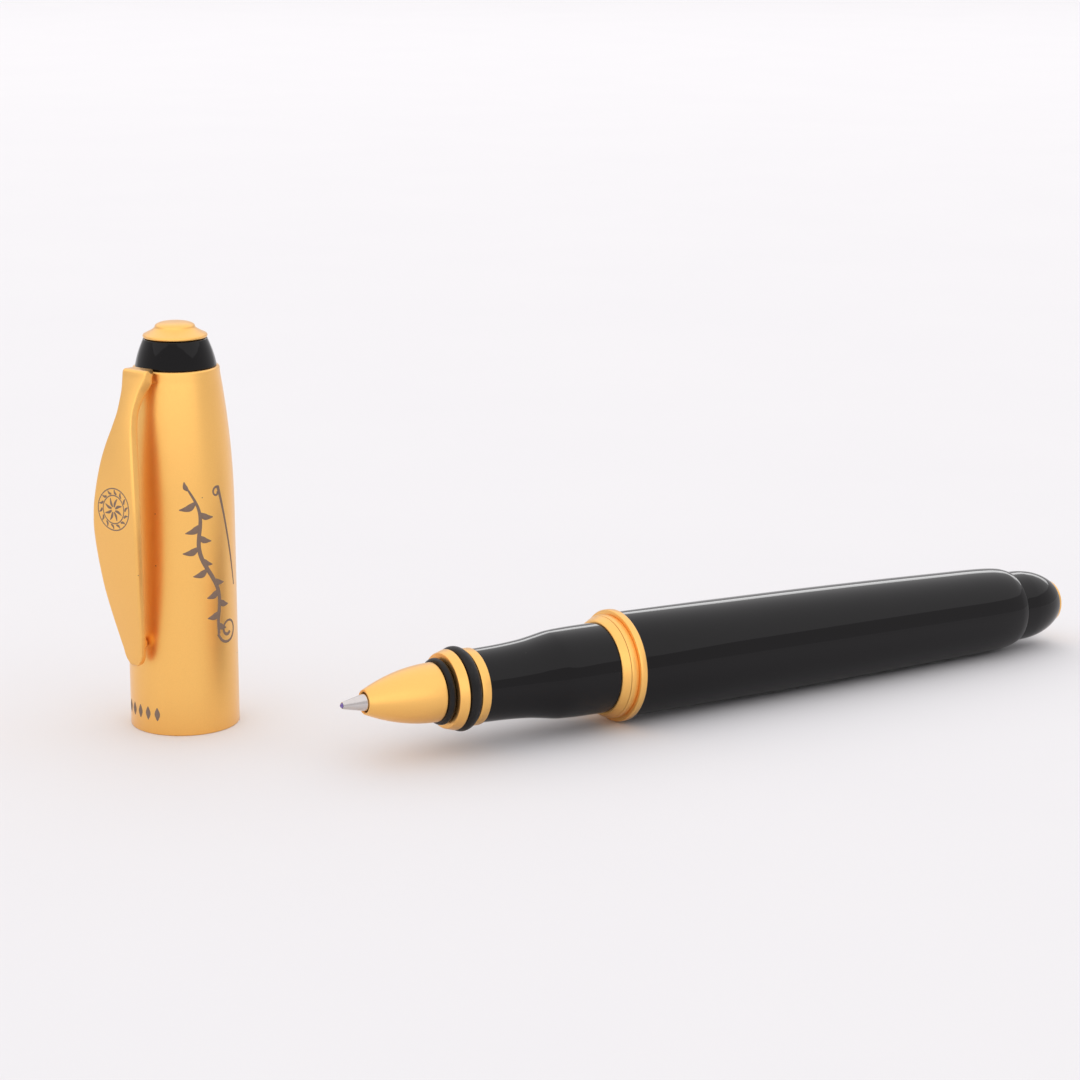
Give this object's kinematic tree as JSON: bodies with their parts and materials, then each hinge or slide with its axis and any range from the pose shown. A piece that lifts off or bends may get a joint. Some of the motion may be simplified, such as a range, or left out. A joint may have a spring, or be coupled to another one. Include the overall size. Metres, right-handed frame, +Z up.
{
  "type": "rollerball pen",
  "caption": "Black and gold rollerball pen lying down with its gold cap standing beside it; the tip ball turns, the refill is sprung, the barrel unscrews and the clip flexes.",
  "frame": {"origin": "on the table, under the middle of the whole object", "axes": "+X along the pen from its writing tip towards its tail, +Y towards the side where the cap stands, +Z up"},
  "size_m": [0.1396, 0.0444, 0.0543],
  "materials": {
    "satin_gold": "bead-blasted gold plating, satin",
    "black_lacquer": "high-gloss black lacquer over brass",
    "seal_rubber": "smooth matt black rubber",
    "tip_steel": "fine-turned stainless steel",
    "plain_steel": "bright zinc-plated steel",
    "raw_brass": "turned brass",
    "black_plastic": "moulded black plastic",
    "refill_plastic": "milky extruded plastic",
    "ball_carbide": "polished carbide wet with ink"
  },
  "bodies": {
    "grip_section": {"nose_cone": "satin_gold", "front_seal_ring": "seal_rubber", "front_trim_ring": "satin_gold", "rear_seal_ring": "seal_rubber", "rear_trim_ring": "satin_gold", "grip_sleeve": "black_lacquer", "collar_lip": "satin_gold", "collar_flange": "satin_gold", "section_core": "raw_brass"},
    "refill": {"refill_tip": "tip_steel", "refill_holder": "black_plastic", "refill_tube": "refill_plastic", "refill_plug": "black_plastic"},
    "ball": {"writing_ball": "ball_carbide"},
    "spring": {"refill_spring": "plain_steel"},
    "barrel": {"barrel_shell": "black_lacquer", "barrel_bush": "raw_brass", "tail_piece": "black_lacquer", "tail_disc": "satin_gold", "tail_screw": "plain_steel"},
    "cap": {"cap_shell": "satin_gold", "cap_liner": "black_plastic", "crown_ring": "black_lacquer", "finial": "satin_gold", "cap_screw": "plain_steel"},
    "clip": {"clip": "satin_gold"}
  },
  "joints": [
    {"name": "refill_recoil", "type": "slide", "parent": "grip_section", "child": "refill", "axis": [0.9998, 0, -0.0218], "range_m": [0, 0.0008], "stiffness_N_per_m": 300, "springref_m": -0.003, "deforming": ["refill_spring"]},
    {"name": "ball_spin", "type": "hinge", "parent": "refill", "child": "ball", "pos_m": [-0.0486, -0.01462, 0.0085], "axis": [0, 1, 0], "continuous": true},
    {"name": "barrel_draw", "type": "slide", "parent": "grip_section", "child": "spring", "axis": [0.9998, 0, -0.0218], "range_m": [0, 0.0055]},
    {"name": "barrel_turn", "type": "hinge", "parent": "spring", "child": "barrel", "pos_m": [-0.00691, -0.01462, 0.00759], "axis": [0.9998, 0, -0.0218], "range_deg": [0, 1980]},
    {"name": "cap_lift", "type": "slide", "parent": "grip_section", "child": "cap", "axis": [0, 0, 1], "range_m": [0, 0.08]},
    {"name": "clip_flex", "type": "hinge", "parent": "cap", "child": "clip", "pos_m": [-0.06155, 0.0131, 0.04805], "axis": [-0.3746, 0.9272, 0], "range_deg": [0, 4], "stiffness_Nm_per_rad": 0.15, "springref_deg": -5.73}
  ],
  "couplings": [
    {"joint": "barrel_turn", "follows": "barrel_draw", "rad_per_m": 6283.2}
  ]
}
